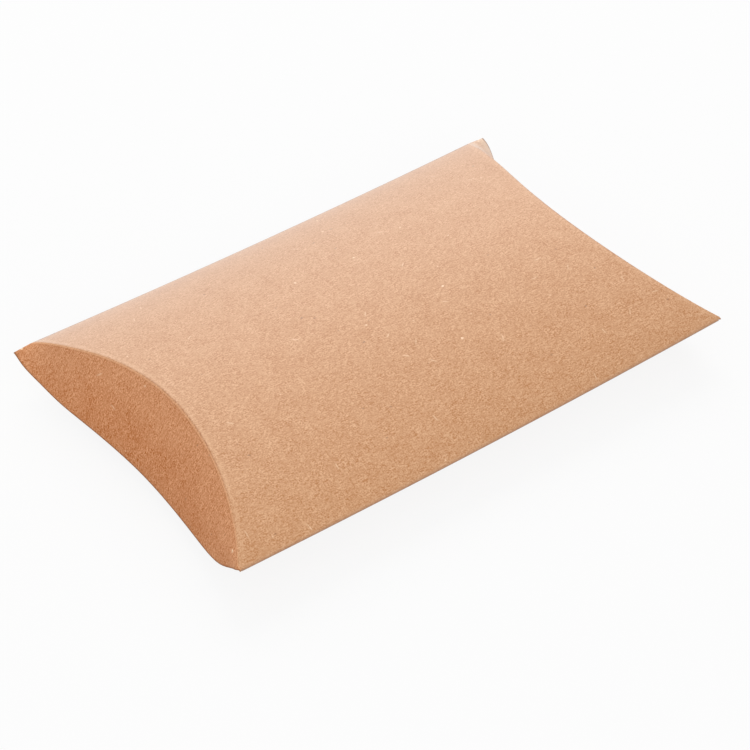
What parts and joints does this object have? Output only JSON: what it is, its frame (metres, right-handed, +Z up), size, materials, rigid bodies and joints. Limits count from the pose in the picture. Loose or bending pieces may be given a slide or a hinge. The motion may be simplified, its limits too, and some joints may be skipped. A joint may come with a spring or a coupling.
{
  "type": "pillow box",
  "caption": "Pillow box of kraft board: arched panels glued into a sleeve and closed at the ends by curved flaps that swing on curved scored creases.",
  "frame": {"origin": "under the middle of the box, on the plane that it lies on", "axes": "+X along the box from the left end to the right end, +Y towards the glued back edge, +Z up"},
  "size_m": [0.1558, 0.0999, 0.0234],
  "materials": {
    "kraft_panel": "uncoated matt kraft with fine fibre specks",
    "kraft_fold": "scored kraft, a little paler where the fibres are stretched",
    "kraft_flap": "uncoated matt kraft with fine fibre specks",
    "glue": "dried paper glue"
  },
  "bodies": {
    "sleeve": {"top_panel": "kraft_panel", "bottom_panel": "kraft_panel", "front_side_fold": "kraft_fold", "back_side_fold": "kraft_fold", "glue_tab": "kraft_panel", "glue_line": "glue", "left_top_crease": "kraft_fold", "right_top_crease": "kraft_fold", "left_bottom_crease": "kraft_fold", "right_bottom_crease": "kraft_fold"},
    "left_outer": {"left_outer_flap": "kraft_flap"},
    "left_inner": {"left_inner_flap": "kraft_flap"},
    "right_outer": {"right_outer_flap": "kraft_flap"},
    "right_inner": {"right_inner_flap": "kraft_flap"}
  },
  "joints": [
    {"name": "left_outer_fold", "type": "hinge", "parent": "sleeve", "child": "left_outer", "pos_m": [-0.0615, 0, 0.02339], "axis": [0, 1, 0], "range_deg": [0, 65], "deforming": ["left_top_crease"]},
    {"name": "left_inner_fold", "type": "hinge", "parent": "sleeve", "child": "left_inner", "pos_m": [-0.0615, 0, 0], "axis": [0, -1, 0], "range_deg": [0, 97.5], "deforming": ["left_bottom_crease"]},
    {"name": "right_outer_fold", "type": "hinge", "parent": "sleeve", "child": "right_outer", "pos_m": [0.0615, 0, 0.02339], "axis": [0, -1, 0], "range_deg": [0, 65], "deforming": ["right_top_crease"]},
    {"name": "right_inner_fold", "type": "hinge", "parent": "sleeve", "child": "right_inner", "pos_m": [0.0615, 0, 0], "axis": [0, 1, 0], "range_deg": [0, 97.5], "deforming": ["right_bottom_crease"]}
  ],
  "couplings": [
    {"joint": "left_inner_fold", "follows": "left_outer_fold", "ratio": 1.5},
    {"joint": "right_inner_fold", "follows": "right_outer_fold", "ratio": 1.5}
  ]
}
